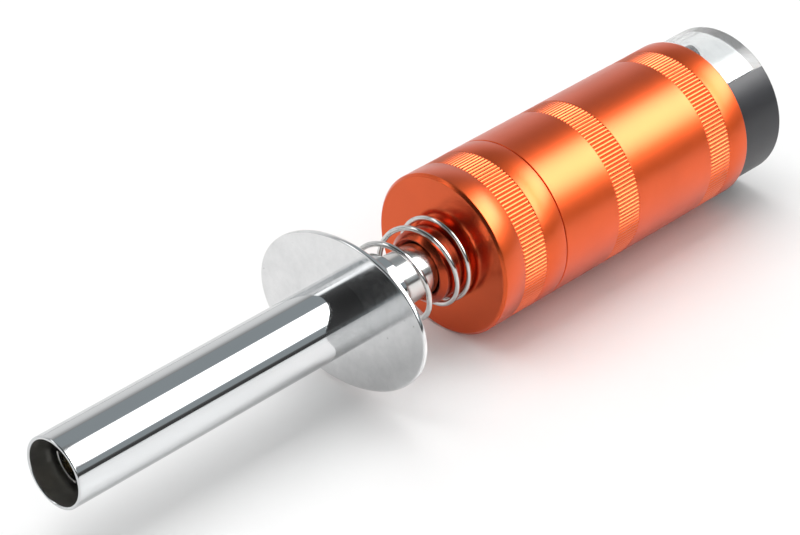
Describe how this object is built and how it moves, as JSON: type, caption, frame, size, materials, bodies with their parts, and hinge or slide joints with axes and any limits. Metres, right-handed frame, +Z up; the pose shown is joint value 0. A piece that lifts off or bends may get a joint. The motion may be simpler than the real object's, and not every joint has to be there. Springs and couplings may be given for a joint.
{
  "type": "glow plug igniter",
  "caption": "Pen-style glow plug igniter: sprung outer sleeve with an oval finger flange over a clip tube, knurled battery barrel and a half-clear ammeter in the tail.",
  "frame": {"origin": "centre of the bounding box's bottom: under the middle of the igniter as it lies on its barrel", "axes": "+X along the igniter's axis from the open nose to the meter, +Z up from the surface it lies on"},
  "size_m": [0.1608, 0.0388, 0.03],
  "materials": {
    "orange_anodised": "satin orange anodised, knurled",
    "chrome": "mirror polished",
    "polished_aluminium": "polished, faintly speckled",
    "nylon": "natural nylon",
    "spring_steel": "bright drawn wire",
    "nickel": "nickel plated",
    "brass": "turned",
    "copper": "enamelled winding",
    "dark_steel": "dark magnet steel",
    "seal_rubber": "matte black",
    "fibre": "pressed fibre",
    "battery_wrap": "plain heat-shrink sleeve",
    "dark_plastic": "fine moulded texture",
    "clear_plastic": "clear polished plastic",
    "white_card": "printed white scale",
    "red_paint": "red lacquer"
  },
  "bodies": {
    "handle": {"barrel": "orange_anodised", "battery_can": "nickel", "battery_wrap": "battery_wrap", "battery_gasket": "fibre", "battery_terminal": "nickel", "battery_spring": "brass", "rear_contact_plate": "brass", "ground_ring": "brass", "meter_base": "dark_plastic", "meter_window": "clear_plastic", "scale_plate": "white_card", "meter_coil": "copper", "control_magnet": "dark_steel", "bearing_bridge": "brass"},
    "seal": {"cap_seal": "seal_rubber"},
    "cap": {"front_cap": "orange_anodised", "clip_tube": "nickel", "clip_stop_ring": "spring_steel", "clip_retaining_nut": "brass", "tip_insulator": "nylon", "contact_insulator": "nylon", "contact_stud": "brass", "contact_spring": "spring_steel", "return_spring": "spring_steel"},
    "sleeve": {"outer_sleeve": "chrome", "finger_flange": "polished_aluminium", "sleeve_guide_bush": "nylon"},
    "pin": {"contact_pin": "brass"},
    "needle": {"meter_needle": "red_paint", "needle_spindle": "nickel", "needle_vane": "dark_steel"}
  },
  "joints": [
    {"name": "cap_travel", "type": "slide", "parent": "handle", "child": "seal", "axis": [-1, 0, 0], "range_m": [0, 0.0075]},
    {"name": "cap_unscrew", "type": "hinge", "parent": "seal", "child": "cap", "pos_m": [0.0221, 0, 0.01498], "axis": [-1, 0, 0], "range_deg": [0, 2160]},
    {"name": "sleeve_slide", "type": "slide", "parent": "cap", "child": "sleeve", "axis": [1, 0, 0], "range_m": [0, 0.0076], "stiffness_N_per_m": 350, "springref_m": -0.008, "deforming": ["return_spring"]},
    {"name": "pin_plunge", "type": "slide", "parent": "cap", "child": "pin", "axis": [1, 0, 0], "range_m": [0, 0.0025], "stiffness_N_per_m": 300, "springref_m": -0.004, "deforming": ["contact_spring"]},
    {"name": "needle_swing", "type": "hinge", "parent": "handle", "child": "needle", "pos_m": [0.0722, -0.00192, 0.01337], "axis": [-1, 0, 0], "range_deg": [0, 80], "stiffness_Nm_per_rad": 0.00002, "springref_deg": -17.19}
  ],
  "couplings": [
    {"joint": "cap_travel", "follows": "cap_unscrew", "m_per_rad": 0.00019894}
  ]
}
